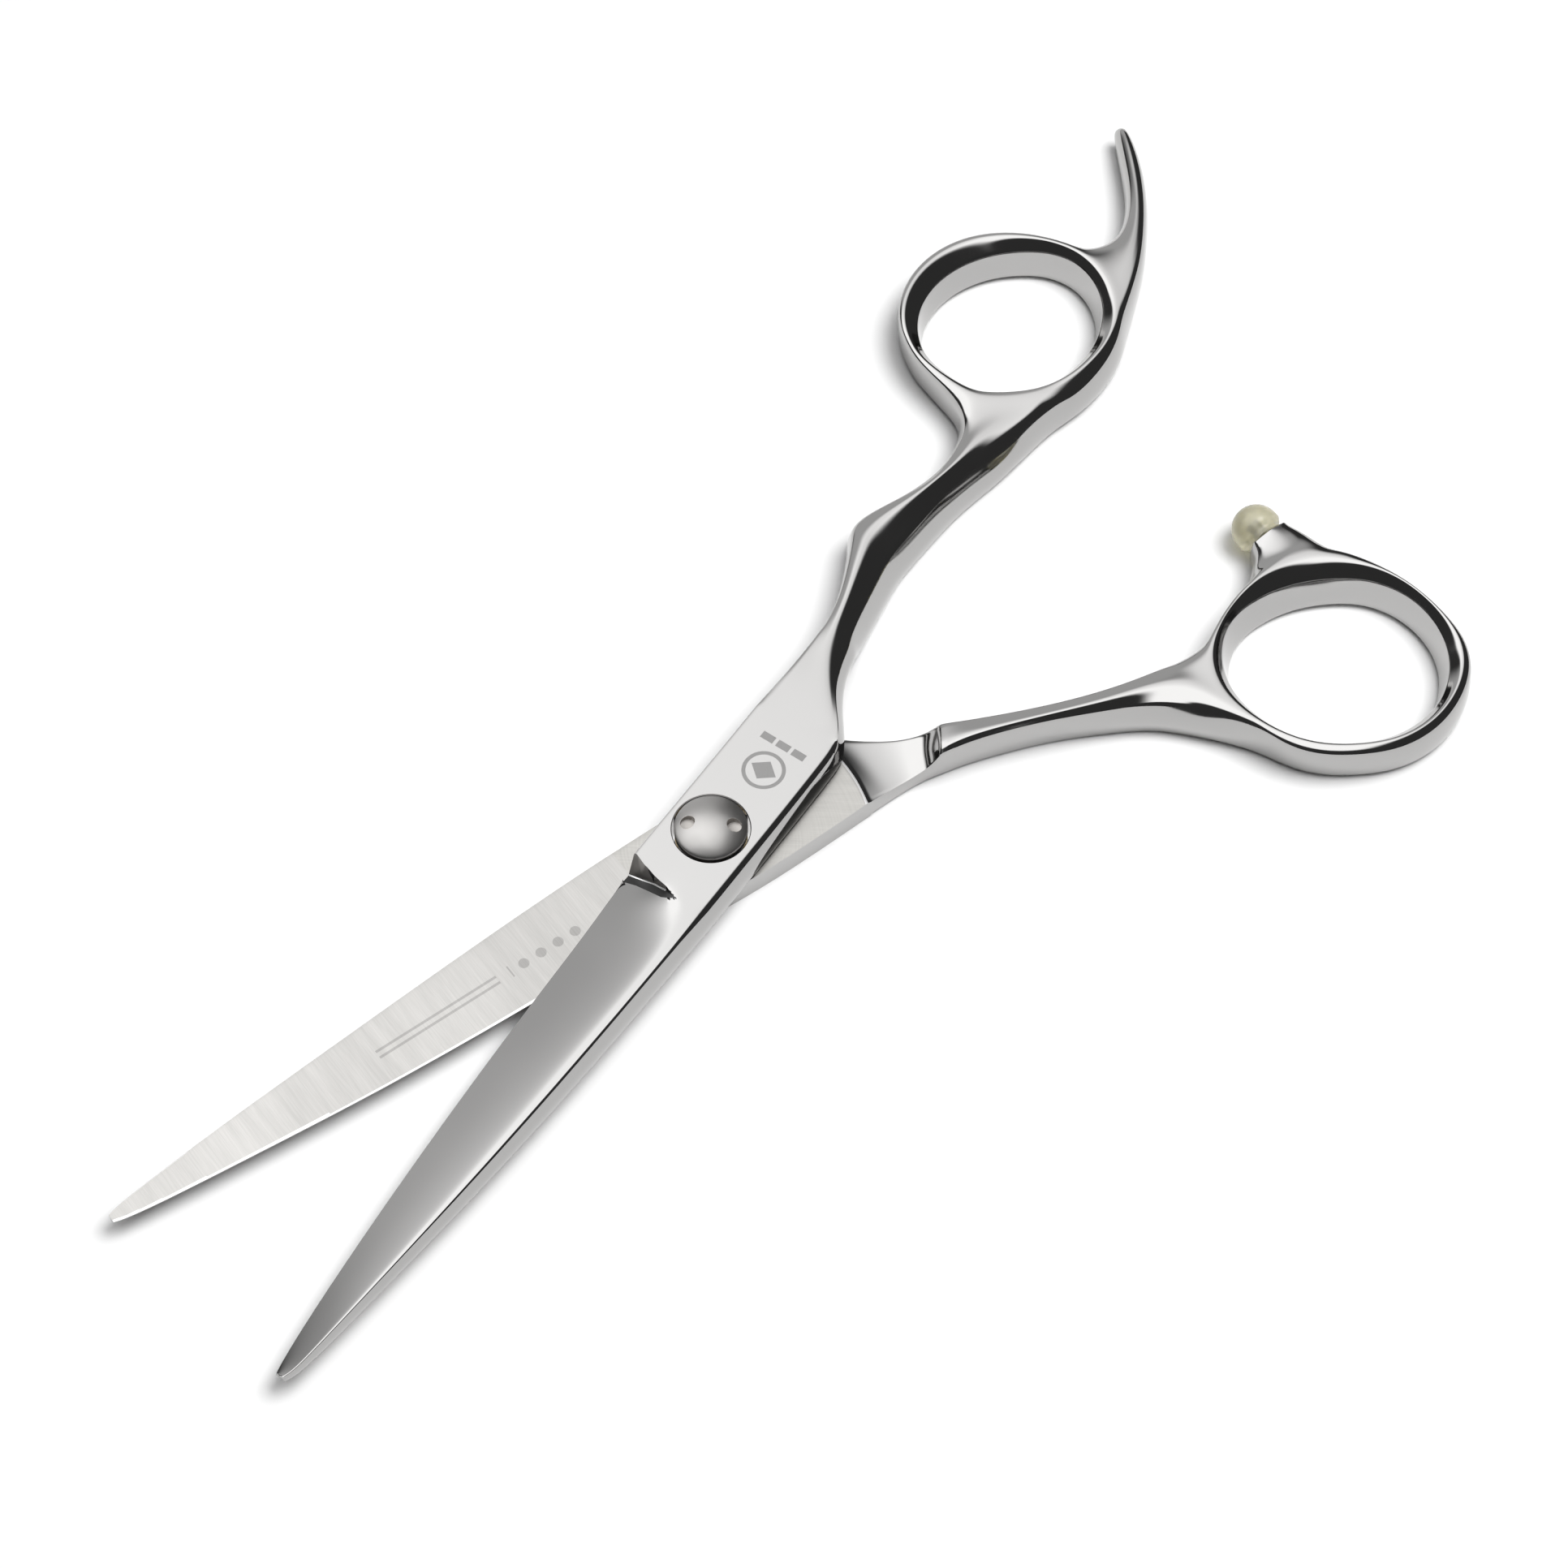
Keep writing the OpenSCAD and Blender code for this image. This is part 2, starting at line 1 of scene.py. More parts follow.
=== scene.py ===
"""Looks of the hair cutting shears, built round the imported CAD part. Tables are in millimetres."""

import math

import bmesh
import bpy
import numpy as np
from mathutils import Matrix, Vector


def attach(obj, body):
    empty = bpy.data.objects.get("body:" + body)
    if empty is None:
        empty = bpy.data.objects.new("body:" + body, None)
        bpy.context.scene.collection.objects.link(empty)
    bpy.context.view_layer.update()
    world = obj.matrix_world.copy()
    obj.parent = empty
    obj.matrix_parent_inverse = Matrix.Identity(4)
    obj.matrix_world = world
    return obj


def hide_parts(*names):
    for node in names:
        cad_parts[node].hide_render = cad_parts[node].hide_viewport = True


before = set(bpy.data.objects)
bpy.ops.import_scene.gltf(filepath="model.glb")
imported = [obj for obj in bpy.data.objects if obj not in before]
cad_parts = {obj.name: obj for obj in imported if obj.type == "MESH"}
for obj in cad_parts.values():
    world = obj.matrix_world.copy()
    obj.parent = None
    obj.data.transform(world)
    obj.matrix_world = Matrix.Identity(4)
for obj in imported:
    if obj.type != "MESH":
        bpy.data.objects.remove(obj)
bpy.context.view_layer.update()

MM = 0.001
BLADE_LENGTH = 75.5
RIDE_Z, FACE_Z, TOP_Z = 3.05, 3.15, 6.1
HANDLE_Z, CREST_Z, LIP_PART = 0.1, 5.5, 0.78
SHOULDER_IN = 0.12
LAND_T, LAND_ROUND = 0.12, 0.02
RISE = 0.52
RIDE_R = 17.6
KEY_ANGLE, KEY_R = 121.3, 2.5
OPENING = math.radians(-18.68)
SIDE, RAY = 12, 10
LEVELS = 3

# ---- The forgings' cages: twelve-point stations along them and ten-point rays round each ring ----


def mix(a, b, t):
    return a + (b - a) * t


def up(p, z):
    return np.array([p[0], p[1], z], float)


def station(left, right, inset_l, inset_r, bottom, top_l, place, crown, top_r, edge):
    left, right = np.array(left, float), np.array(right, float)
    d = (right - left) / np.linalg.norm(right - left)
    a, b, e = left + d * inset_l, right - d * inset_r, d * edge
    return [
        up(a, top_l),
        up(mix(a, b, place / 2), top_l + (crown - top_l) * RISE),
        up(mix(a, b, place), crown),
        up(mix(a, b, (1 + place) / 2), mix(crown, top_r, 0.5)),
        up(b, top_r),
        up(right, mix(bottom, top_r, 0.45)),
        up(right - e, bottom),
        up(mix(left, right, 0.75), bottom),
        up(mix(left, right, 0.5), bottom),
        up(mix(left, right, 0.25), bottom),
        up(left + e, bottom),
        up(left, mix(bottom, top_l, 0.45)),
    ]


def under_station(left, right, inset, spine, place, crown, edge):
    left, right = np.array(left, float), np.array(right, float)
    d = (right - left) / np.linalg.norm(right - left)
    a, b = left + d * inset, right - d * LAND_ROUND
    fall = edge - crown
    return [
        up(left, RIDE_Z),
        up(mix(left, right, 0.25), RIDE_Z),
        up(mix(left, right, 0.5), RIDE_Z),
        up(mix(left, right, 0.75), RIDE_Z),
        up(b, RIDE_Z),
        up(right, mix(RIDE_Z, edge, 0.5)),
        up(b, edge),
        up(mix(right, a, place / 2), edge - fall * RISE),
        up(mix(right, a, place), crown),
        up(mix(right, a, (1 + place) / 2), mix(crown, spine, 0.5)),
        up(a, spine),
        up(left, mix(RIDE_Z, spine, 0.45)),
    ]


def around(radii, angle):
    n, t = len(radii), angle / 360 * len(radii) + len(radii)
    i = math.floor(t)
    f = t - i
    p = [radii[(i + k) % n] for k in (-1, 0, 1, 2)]
    curve = 2 * p[0] - 5 * p[1] + 4 * p[2] - p[3] + f * (3 * (p[1] - p[2]) + p[3] - p[0])
    return p[1] + 0.5 * f * (p[2] - p[0] + f * curve)


def ray(ring, angle, joined):
    """One ray of a ring: from the hole's wall over the lip and the crest, and back underneath."""
    a = math.radians(angle)
    d, c, z = np.array([math.cos(a), math.sin(a)]), np.array(ring["centre"], float), HANDLE_Z
    h, o, lip_in, place, lean = (around(ring[k], angle) for k in ("hole", "outer", "lip", "crest", "lean"))
    lip, shoulder = h + lip_in, o - SHOULDER_IN - lean
    crest = mix(lip, shoulder, place)
    drop = 0.3 * lean if joined else 0.45 + 0.55 * lean
    return [
        up(c + d * h, z + 0.5),
        up(c + d * (h + lip_in * 0.35), mix(z, CREST_Z, 0.4)),
        up(c + d * lip, mix(z, CREST_Z, LIP_PART)),
        up(c + d * mix(lip, crest, 0.5), mix(z, CREST_Z, (1 + LIP_PART) / 2)),
        up(c + d * crest, CREST_Z),
        up(c + d * shoulder, CREST_Z - drop),
        up(c + d * mix(shoulder, o, 0.65), mix(z, CREST_Z, 0.5)),
        up(c + d * (o - (0 if joined else 0.25)), z if joined else z + 0.45),
        up(c + d * mix(o, h, 0.35), z),
        up(c + d * mix(o, h, 0.75), z),
    ]


def ring_crease(a, b, starts):
    """Crease of a cage edge that runs round a ring. Where an arm or a tail joins, the shoulder is smooth."""
    if not (a[0] == b[0] == "ring" and a[1] != b[1] and a[2] == b[2]):
        return 0.0
    if a[2] == 5 and any(s <= min(a[1], b[1]) and max(a[1], b[1]) <= s + 4 for s in starts):
        return 0.0
    return {2: 0.5, 4: 0.15, 0: 0.3, 5: 0.35}.get(a[2], 0.0)


def forging(name, arm, tail, ring, tail_start, creases):
    """The cage as a mesh of quads, subdivided. creases gives the weight for a pair of vertex keys."""
    starts, angles = (0, tail_start), ring["angles"]
    points, keys = [], {}

    def add(key, p):
        keys[key] = len(points)
        points.append(p * MM)

    for part, loops in (("arm", arm), ("tail", tail)):
        for i, s in enumerate(loops):
            for k, p in enumerate(s):
                add((part, i, k), p)
    for i, angle in enumerate(angles):
        near = any(s <= i <= s + 4 for s in starts)
        for k, p in enumerate(ray(ring, angle, near)):
            add(("ring", i, k), p)
    rays = len(angles)

    def ring_loop(s, flip):
        top = [("ring", s + i, 5) for i in range(5)]
        low = [("ring", s + i, 7) for i in range(5)]
        ends = [("ring", s + 4, 6), ("ring", s, 6)]
        if flip:
            return top[::-1] + [ends[1]] + low + [ends[0]]
        return top + [ends[0]] + low[::-1] + [ends[1]]

    faces = []
    arm_loops = [[("arm", i, k) for k in range(SIDE)] for i in range(len(arm))]
    arm_loops.append(ring_loop(0, False))
    tail_loops = [ring_loop(tail_start, True)]
    tail_loops += [[("tail", i, k) for k in range(SIDE)] for i in range(len(tail))]
    for loops in (arm_loops, tail_loops):
        for a, b in zip(loops, loops[1:]):
            for k in range(SIDE):
                j = (k + 1) % SIDE
                faces.append((a[k], b[k], b[j], a[j]))
    for loop, back in ((arm_loops[0], False), (tail_loops[-1], True)):
        end = [(loop[i], loop[i + 1], loop[9 - i], loop[10 - i]) for i in range(4)]
        end += [(loop[4], loop[5], loop[6]), (loop[10], loop[11], loop[0])]
        faces += [f[::-1] for f in end] if back else end
    for i in range(rays):
        inside = any(s <= i < s + 4 for s in starts)
        for k in range(RAY):
            if inside and k in (5, 6):
                continue
            j, n = (i + 1) % rays, (k + 1) % RAY
            faces.append((("ring", i, k), ("ring", i, n), ("ring", j, n), ("ring", j, k)))

    bm = bmesh.new()
    verts = [bm.verts.new(p) for p in points]
    crease = bm.edges.layers.float.new("crease_edge")
    for f in faces:
        bm.faces.new([verts[keys[k]] for k in f])
    bmesh.ops.recalc_face_normals(bm, faces=bm.faces)
    names = {v: k for k, v in keys.items()}
    bm.verts.index_update()
    for e in bm.edges:
        a, b = (names[v.index] for v in e.verts)
        e[crease] = creases(a, b)
    mesh = bpy.data.meshes.new(name)
    bm.to_mesh(mesh)
    bm.free()
    ob = bpy.data.objects.new(name, mesh)
    bpy.context.scene.collection.objects.link(ob)
    sub = ob.modifiers.new("round", "SUBSURF")
    sub.levels = sub.render_levels = LEVELS
    sub.use_limit_surface = True
    return ob


def settle(ob):
    """Replaces the object's mesh with what its modifiers make of it."""
    dg = bpy.context.evaluated_depsgraph_get()
    made = bpy.data.meshes.new_from_object(ob.evaluated_get(dg))
    ob.modifiers.clear()
    ob.data = made
    return ob


def mesh_object(name, bm, at=Matrix.Identity(4)):
    bm.transform(at)
    bmesh.ops.recalc_face_normals(bm, faces=bm.faces)
    mesh = bpy.data.meshes.new(name)
    bm.to_mesh(mesh)
    bm.free()
    ob = bpy.data.objects.new(name, mesh)
    bpy.context.scene.collection.objects.link(ob)
    return ob


def lathe(name, profile, steps=96, at=Matrix.Identity(4)):
    """Turns (radius, height) pairs about Z. A radius of 0 is a point on the axis."""
    bm = bmesh.new()
    rings = []
    for r, z in profile:
        if r == 0:
            rings.append([bm.verts.new((0, 0, z * MM))])
            continue
        turn = [2 * math.pi * i / steps for i in range(steps)]
        rings.append([bm.verts.new((r * MM * math.cos(a), r * MM * math.sin(a), z * MM)) for a in turn])
    for a, b in zip(rings, rings[1:]):
        for i in range(steps):
            j = (i + 1) % steps
            quad = [a[i % len(a)], a[j % len(a)], b[j % len(b)], b[i % len(b)]]
            quad = [v for n, v in enumerate(quad) if v not in quad[:n]]
            if len(quad) > 2:
                bm.faces.new(quad)
    for ring in (rings[0], rings[-1]):
        if len(ring) > 2:
            bm.faces.new(ring)
    return mesh_object(name, bm, at)


def prism(name, outline, low, high, at=Matrix.Identity(4)):
    bm = bmesh.new()
    base = [bm.verts.new((x * MM, y * MM, low * MM)) for x, y in outline]
    top = [bm.verts.new((x * MM, y * MM, high * MM)) for x, y in outline]
    bm.faces.new(base[::-1])
    bm.faces.new(top)
    for i in range(len(base)):
        j = (i + 1) % len(base)
        bm.faces.new((base[i], base[j], top[j], top[i]))
    return mesh_object(name, bm, at)


def cut(ob, *cutters):
    for c in cutters:
        m = ob.modifiers.new("cut", "BOOLEAN")
        m.operation, m.solver, m.object = "DIFFERENCE", "EXACT", c
    settle(ob)
    for c in cutters:
        bpy.data.objects.remove(c)
    return ob


def smooth(ob, angle=28):
    ob.data.polygons.foreach_set("use_smooth", [True] * len(ob.data.polygons))
    ob.data.set_sharp_from_angle(angle=math.radians(angle))
    return ob


def place(x, y, z, *turns):
    m = Matrix.Translation((x * MM, y * MM, z * MM))
    for angle, axis in turns:
        m = m @ Matrix.Rotation(math.radians(angle), 4, axis)
    return m


OPEN = Matrix.Rotation(OPENING, 4, "Z")

# ---- Finger lever ----

FINGER_GRIND = [
    (1, 0.3, 1.5, 0.2, 0.8, 2.2, 2.15),
    (0.985, 0, 2.1, 0.25, 0.9, 2, 1.95),
    (0.93, -0.65, 2.65, 0.35, 0.93, 1.7, 1.65),
    (0.8, -1.75, 3.6, 0.45, 0.93, 1.25, 1.2),
    (0.6, -3, 4.95, 0.7, 0.9, 0.7, 0.65),
    (0.4, -3.9, 5.7, 0.75, 0.88, 0.3, 0.25),
    (0.24, -4.3, 6, 0.75, 0.9, 0.07, 0.05),
    (0.165, -4.7, 6.1, 0.8, 0.86, 0, 0),
    (0.1238, -4.85, 6.15, 0.8, 0.68, 0, 0),
]
FINGER_PLATE = [
    (8.75, -4.9, 6.15, 0.8), (5, -5, 6.15, 0.8), (-5, -5, 6.1, 0.8),
    (-14, -5.05, 6, 0.8), (-16.5, -5.1, 5.8, 0.75),
]
FINGER_SHANK = [
    (-18.3, -5.1, 4.9, 0.1, 0.9, FACE_Z, 6.1, 0.9, 6.1, 6.05, 0.1),
    (-20.5, -5.1, 3.1, 0.2, 1, FACE_Z, 6.1, 0.85, 6.1, 5.9, 0.1),
    (-23, -5.15, 1.3, 0.3, 1, FACE_Z, 6.05, 0.75, 6.1, 5.7, 0.1),
    (-26, -5.3, -0.1, 0.4, 0.8, FACE_Z, 5.9, 0.5, 6.1, 5.4, 0.1),
    (-28.4, -5.55, -0.6, 0.5, 1, FACE_Z, 5.8, 0.4, 6.1, 5.2, 0.1),
    (-29.6, -5.75, -1.1, 0.5, 1, 0.5, 5.75, 0.36, 6.1, 5.15, 0.3),
    (-33, -6.6, -1.7, 0.6, 1.3, 0.1, 5.7, 0.32, 6.1, 5, 0.4),
    (-37.5, -8.7, -2.5, 0.7, 1.5, 0.1, 5.6, 0.34, 6.1, 4.9, 0.4),
    (-40, -10.1, -2.9, 0.8, 1.7, 0.1, 5.4, 0.38, 6.1, 4.85, 0.4),
    (-41.8, -11.3, -3.05, 0.9, 1.7, 0.1, 5.2, 0.42, 6.1, 4.85, 0.4),
    (-44.6, -10.3, -3, 0.8, 1.7, 0.1, 5.4, 0.38, 6.1, 4.85, 0.4),
    (-48, -8.5, -2.9, 0.7, 1.7, 0.1, 5.5, 0.34, 6.05, 4.85, 0.4),
    (-52, -7.2, -2.7, 0.6, 1.8, 0.1, 5.4, 0.36, 5.95, 4.85, 0.4),
    (-56, -7.1, -2, 0.6, 1.8, 0.1, 5.2, 0.42, 5.8, 4.9, 0.4),
    (-60, -8.2, -1.1, 0.6, 1.9, 0.1, 5, 0.46, 5.7, 4.9, 0.4),
]
NOTCH_OVER = 0.5
NOTCH_TIP = (9.2, 2.15)
HEEL_NOTCH = [
    (-6.5, 6.5, 8.4, 2.6, 9.5, 2.7), (-4.9, 7.1, 8.35, 3.18, 9.45, 3.22),
    (-3.2, 7.7, 8.25, 3.7, 9.35, 3.85), (-1.5, 8.2, 8.38, 4.65, 9.47, 4.5),
    (0.3, 8.5, 8.65, 5.45, 9.6, 5.15),
]
FINGER_REST = [
    ((-93, -8.7), (-90.5, -2.8), 0.1, 4.7, 5.4, 5),
    ((-97, -9.7), (-95, -5.1), 0.2, 4.5, 5.2, 4.8),
    ((-100.6, -12), (-100, -8), 0.4, 4.2, 4.9, 4.5),
    ((-104, -15), (-104.4, -11.4), 0.6, 3.9, 4.5, 4.2),
    ((-106.6, -17.3), (-107.6, -14.7), 0.8, 3.6, 4.1, 3.9),
    ((-108.1, -18.5), (-109.2, -16.9), 1.1, 3.2, 3.5, 3.4),
]
FINGER_RING = {
    "centre": (-75.5, -11.8),
    "angles": [8, 20, 32, 44, 55, 67, 80, 93, 105, 116, 127, 139, 151, 163, 175]
    + [189.5 + 14.6 * i for i in range(11)],
    "hole": [10.3, 9.6, 9.6, 9.4, 10, 10.9, 11.2, 9.9, 9.3, 9.4, 9.9, 10.2],
    "outer": [12.9, 14.2, 13.6, 13.2, 13.9, 14.4, 13.7, 13.3, 13.4, 13.3, 13, 12.3],
    "lip": [0.3, 0.1, 0.1, 0.3, 0.5, 0.8, 0.9, 0.9, 0.9, 0.8, 0.6, 0.4],
    "crest": [0.4, 0.2, 0.2, 0.4, 0.6, 0.45, 0.55, 0.68, 0.72, 0.75, 0.75, 0.7],
    "lean": [0.2, 0.7, 0.9, 0.9, 0.8, 0.4, 0.05, 0, 0, 0, 0, 0],
}
FINGER_TAIL = 10
HEEL = len(FINGER_GRIND) - 1


def finger_arm():
    loops = []
    for part, low, high, inset, at, crown, spine in FINGER_GRIND:
        x = part * BLADE_LENGTH
        loops.append(station(
            (x, low), (x, high), LAND_ROUND, inset, FACE_Z, FACE_Z + LAND_T, at,
            TOP_Z - crown, TOP_Z - spine, LAND_ROUND))
    for x, low, high, inset in FINGER_PLATE:
        loops.append(station((x, low), (x, high), 0, inset, FACE_Z, TOP_Z, 0.5, TOP_Z, TOP_Z, 0))
    for x, low, high, *rest in FINGER_SHANK:
        loops.append(station((x, low), (x, high), *rest))
    return loops


def finger_creases(a, b):
    """Crease of the cage's edge between two keys, each (part, station or ray, point)."""
    if a[0] == b[0] == "arm":
        i = max(a[1], b[1])
        if a[1] == b[1]:
            heel = a[1] in (HEEL, HEEL + 1) and {a[2], b[2]} <= {0, 1, 2}
            return 1.0 if a[1] == 0 or heel else 0.0
        k = a[2]
        if k in (0, 10, 11) and i <= HEEL:
            return 1.0
        if i <= HEEL + 5:
            return {0: 0.45, 4: 0.3, 6: 0.75, 10: 0.75}.get(k, 0.0)
        if i <= HEEL + 10:
            return {0: 0.4, 4: 0.55, 6: 0.7, 10: 0.6}.get(k, 0.0)
        return {0: 0.3, 4: 0.62, 6: 0.3, 10: 0.3}.get(k, 0.0)
    return ring_crease(a, b, (0, FINGER_TAIL))


def heel_notch():
    """The groove where the edge ends. A section: far top, foot, floor, near edge, near top."""
    bm = bmesh.new()
    rows = []
    for y, far, foot, foot_z, near, near_z in HEEL_NOTCH:
        lean = (foot - far) / (TOP_Z - foot_z)
        points = [
            (far - lean * NOTCH_OVER, TOP_Z + NOTCH_OVER), (foot - lean * 0.1, foot_z + 0.1),
            (foot + 0.12, foot_z), (near, near_z), (near, TOP_Z + NOTCH_OVER)]
        rows.append([bm.verts.new((x * MM, y * MM, z * MM)) for x, z in points])
    tip = bm.verts.new([v * MM for v in (*NOTCH_TIP, TOP_Z + 0.25)])
    bm.faces.new(rows[0])
    for a, b in zip(rows, rows[1:]):
        for i in range(5):
            j = (i + 1) % 5
            bm.faces.new((a[i], a[j], b[j]))
            bm.faces.new((a[i], b[j], b[i]))
    for i in range(5):
        bm.faces.new((rows[-1][i], rows[-1][(i + 1) % 5], tip))
    return mesh_object("notch", bm)


def build_finger():
    tail = [station(l, r, 0.6, 0.7, low, tl, 0.5, c, tr, 0.6) for l, r, low, tl, c, tr in FINGER_REST]
    ob = forging("finger_lever_steel", finger_arm(), tail, FINGER_RING, FINGER_TAIL, finger_creases)
    recess = lathe("recess", [(4.22, 4.45), (4.22, TOP_Z - 0.1), (4.34, TOP_Z + 0.02), (4.34, 8)], 128)
    bore = lathe("bore", [(3.2, 2), (3.2, 5)], 96)
    cut(ob, recess, bore, heel_notch())
    return smooth(ob)


finger = build_finger()

# ---- Thumb lever ----

THUMB_GRIND = [
    (1, -0.6, 0.4, 0.2, 2.25, 0.6, 2.3),
    (0.985, -1, 0.75, 0.25, 2.05, 0.8, 2.1),
    (0.93, -1.5, 1.4, 0.35, 1.75, 0.86, 1.85),
    (0.8, -2.5, 2.4, 0.45, 1.3, 0.84, 1.4),
    (0.6, -3.5, 3.9, 0.7, 0.75, 0.77, 0.85),
    (0.4, -4.5, 4.7, 0.75, 0.35, 0.76, 0.45),
    (0.24, -5.1, 5, 0.75, 0.15, 0.8, 0.2),
    (0.14, -5.3, 5.3, 0.8, 0.1, 0.8, 0.1),
]
THUMB_PLATE = [(9.3, -5.3, 5.4), (4, -5.35, 6), (-3, -5.35, 6.3), (-9, -5.35, 6.2), (-13, -5.3, 6.1)]
THUMB_SHANK = [
    ((-19.9, -2.3), (-19.1, 6), 0.2, 0.2, 0, 2.4, 0.5, 2.4, 2.4, 0.2),
    ((-22.3, -0.5), (-21.2, 6), 0.2, 0.2, 0, 2.2, 0.5, 2.2, 2.2, 0.2),
    ((-24.6, 1.1), (-22.9, 6.1), 0.2, 0.2, 0, 2.3, 0.5, 2.3, 2.3, 0.3),
    ((-27, 2.4), (-24.7, 6.4), 0.2, 0.2, 0.1, 3, 0.5, 3, 3, 0.4),
    ((-28.4, 3.2), (-25.8, 6.8), 0.3, 0.1, 0.1, 5.2, 0.8, 5.6, 5.2, 0.5),
    ((-30.8, 4.5), (-29, 7.4), 0.4, 0.2, 0.1, 5.4, 0.8, 5.9, 5.2, 0.5),
    ((-35.5, 6.7), (-34, 9), 0.4, 0.15, 0.1, 5.4, 0.8, 6, 5.2, 0.5),
    ((-40.5, 8.8), (-39, 10.9), 0.4, 0.1, 0.1, 5.4, 0.75, 6, 5.2, 0.5),
    ((-45.5, 10.4), (-44, 13.7), 0.4, 0.6, 0.1, 5.3, 0.6, 5.9, 5.1, 0.6),
    ((-50, 11.4), (-48.6, 16.4), 0.4, 1.3, 0.1, 5.2, 0.5, 5.8, 4.95, 0.7),
    ((-53.8, 11.8), (-52, 20.6), 0.5, 2.2, 0.1, 5, 0.45, 5.7, 4.95, 0.7),
]
THUMB_BOSS = [
    ((-67.6, 8.2), (-77.3, 8.2), 0.1, 4.6, 5.3, 5),
    ((-70, 6.3), (-76.7, 6.3), 0.2, 4.6, 5.2, 4.9),
    ((-70.7, 4.8), (-76, 4.8), 0.4, 4.5, 5.1, 4.8),
]
THUMB_RING = {
    "centre": (-68.3, 23.3),
    "angles": [-46, -33, -20, -7, 6] + [6 + 12.7 * i for i in range(1, 18)]
    + [235, 245.5, 256, 266.5, 277, 289, 301],
    "hole": [10.8, 10.1, 9.8, 10.2, 10.8, 11.3, 11.4, 11.2, 10.5, 10.9, 12, 11.9],
    "outer": [13.1, 12.5, 12.1, 13.1, 14.2, 14.9, 13.6, 14.1, 15.6, 14.5, 14.5, 15.3],
    "lip": [0.5, 0.2, 0.1, 0.3, 0.6, 0.8, 0.9, 1.1, 1.4, 1.4, 1.2, 0.9],
    "crest": [0.5, 0.4, 0.4, 0.5, 0.55, 0.6, 0.7, 0.7, 0.52, 0.72, 0.65, 0.5],
    "lean": [0.1, 0.1, 0.2, 0.5, 0.6, 0.3, 0, 0, 0, 0, 0, 0.1],
}
BUMPER_AT = (-73.3, 2.9, 2.85)
BOSS_Y, STEM_L = 4.8, 3.2
THUMB_TAIL = 22
RIDE_END = len(THUMB_GRIND) + len(THUMB_PLATE)
STEP = RIDE_END + 6


def rim_station(radius, low, z):
    def rim(y):
        return -math.sqrt(radius * radius - y * y), y

    loop = station(rim(-4.1), rim(6.05), 0.1, 0.1, low, z, 0.5, z, z, 0.1)
    return [up(rim(p[1]), p[2]) for p in loop]


def thumb_arm():
    loops = []
    for part, low, high, inset, spine, at, crown in THUMB_GRIND:
        x = part * BLADE_LENGTH
        loops.append(under_station((x, low), (x, high), inset, spine, at, crown, RIDE_Z - LAND_T))
    for x, low, high in THUMB_PLATE:
        loops.append(station((x, low), (x, high), 0, 0, 0, RIDE_Z, 0.5, RIDE_Z, RIDE_Z, 0))
    loops += [rim_station(RIDE_R, 0, RIDE_Z), rim_station(RIDE_R + 0.4, 0, 2.85)]
    return loops + [station(*s) for s in THUMB_SHANK]


def thumb_creases(a, b):
    if a[0] == b[0] == "arm":
        i = max(a[1], b[1])
        if a[1] == b[1]:
            top = {a[2], b[2]} <= {0, 1, 2, 3, 4}
            if a[1] == 0:
                return 1.0
            return {RIDE_END: 1.0, RIDE_END + 1: 0.55, STEP: 0.5}.get(a[1], 0.0) if top else 0.0
        k = a[2]
        if i <= RIDE_END + 1:
            return {0: 0.8, 4: 1.0, 6: 1.0, 10: 0.7, 5: float(i < len(THUMB_GRIND))}.get(k, 0.0)
        return {0: 0.4, 4: 0.55, 6: 0.35, 10: 0.35}.get(k, 0.0)
    if a[0] == b[0] == "tail" and a[1] == b[1] == 2:
        return 0.5
    return ring_crease(a, b, (0, THUMB_TAIL))


def build_thumb():
    tail = [station(l, r, 0.5, 0.5, low, tl, 0.5, c, tr, 0.5) for l, r, low, tl, c, tr in THUMB_BOSS]
    ob = forging("thumb_lever_steel", thumb_arm(), tail, THUMB_RING, THUMB_TAIL, thumb_creases)
    head = lathe("head", [(4.75, -1), (4.75, 1.12)], 128)
    key = [
        (2.52 * math.cos(a), max(-2.12, min(2.12, 2.52 * math.sin(a))))
        for a in np.linspace(0, 2 * math.pi, 97)[:-1]]
    bore = prism("bore", key, 0.5, 5)
    glide = lathe("glide", [(6.1, 2.85), (6.1, 5)], 128)
    stem_at = place(BUMPER_AT[0], BOSS_Y + STEM_L + 0.05, BUMPER_AT[2], (90, "X"))
    stem = lathe("stem", [(1.42, 0), (1.42, STEM_L + 3)], 48, stem_at)
    cut(ob, head, bore, glide, stem)
    ob.data.transform(OPEN)
    return smooth(ob)


thumb = build_thumb()

# ---- Nut and bumper ----


def build_nut():
    rim, dome, rim_z, low = 3.95, 1.2, 6.4, 5.45
    radius = (rim * rim + dome * dome) / (2 * dome)
    centre = rim_z + dome - radius
    edge = math.asin((rim - 0.12) / radius)
    arc = [edge * (1 - i / 20) for i in range(20)]
    profile = [(2.03, low), (rim - 0.15, low), (rim, low + 0.15)]
    profile += [(rim, rim_z - 0.06), (rim - 0.04, rim_z + 0.01)]
    profile += [(radius * math.sin(a), centre + radius * math.cos(a)) for a in arc]
    profile += [(0, rim_z + dome), (0, 6.1), (2.03, 6.1)]
    nut = lathe("tension_nut_dome", profile, 128)
    holes = []
    for turn in (0, 180):
        at = Matrix.Rotation(math.radians(KEY_ANGLE + turn), 4, "Z") @ place(KEY_R, 0, 6.35)
        holes.append(lathe("hole", [(0, -0.1), (0.45, 0.02), (0.8, 0.05), (0.8, 3)], 48, at))
    return smooth(cut(nut, *holes), 35)


